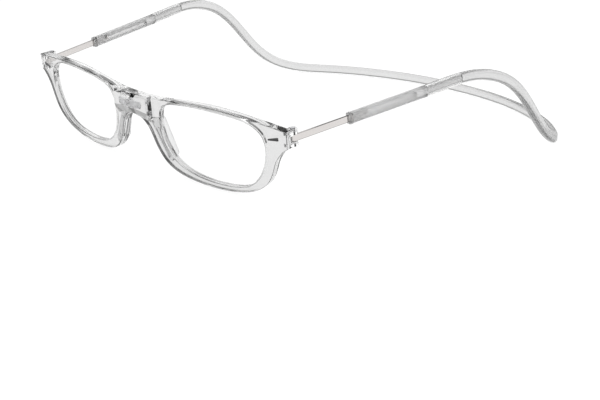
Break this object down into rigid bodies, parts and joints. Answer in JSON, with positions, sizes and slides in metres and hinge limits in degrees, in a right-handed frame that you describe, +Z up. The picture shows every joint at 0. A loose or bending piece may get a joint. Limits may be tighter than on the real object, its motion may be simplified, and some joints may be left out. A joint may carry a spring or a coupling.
{
  "type": "magnetic bridge reading glasses",
  "caption": "Clear reading glasses that split at a magnet in the bridge, with sliding temple bars and a stiff headband that runs round behind the head.",
  "frame": {"origin": "middle of the floor area that the glasses cover as they rest on a table, at table height", "axes": "+X towards the wearer's left, +Y from the front towards the back of the headband, +Z up"},
  "size_m": [0.161, 0.1998, 0.0392],
  "materials": {
    "clear_plastic": "clear polished moulding",
    "band_plastic": "clear, slightly milky moulding",
    "clear_lens": "clear polished lens",
    "pad_plastic": "clear soft moulding",
    "magnet": "plated",
    "inlay": "gloss near-black",
    "steel": "satin",
    "cap_plastic": "smoke grey"
  },
  "bodies": {
    "headband": {"headband": "band_plastic", "left_sleeve": "clear_plastic", "right_sleeve": "clear_plastic", "left_sleeve_cap": "cap_plastic", "right_sleeve_cap": "cap_plastic"},
    "left_temple": {"left_temple_bar": "steel", "left_bar_stud": "steel"},
    "left_front": {"left_rim": "clear_plastic", "left_lens": "clear_lens", "left_magnet": "magnet", "left_nose_pad": "pad_plastic", "left_inlay": "inlay", "left_hinge_pin": "steel"},
    "right_temple": {"right_temple_bar": "steel", "right_bar_stud": "steel"},
    "right_front": {"right_rim": "clear_plastic", "right_lens": "clear_lens", "right_magnet": "magnet", "right_nose_pad": "pad_plastic", "right_inlay": "inlay", "right_hinge_pin": "steel"}
  },
  "joints": [
    {"name": "left_temple_slide", "type": "slide", "parent": "headband", "child": "left_temple", "axis": [0.1288, 0.9787, 0.1601], "range_m": [0, 0.0192]},
    {"name": "left_front_hinge", "type": "hinge", "parent": "left_temple", "child": "left_front", "pos_m": [0.065, -0.08381, 0.02481], "axis": [0, -0.1822, 0.9833], "range_deg": [0, 90]},
    {"name": "right_temple_slide", "type": "slide", "parent": "headband", "child": "right_temple", "axis": [-0.1288, 0.9787, 0.1601], "range_m": [0, 0.0192]},
    {"name": "right_front_hinge", "type": "hinge", "parent": "right_temple", "child": "right_front", "pos_m": [-0.065, -0.08381, 0.02481], "axis": [0, 0.1822, -0.9833], "range_deg": [0, 90]}
  ]
}
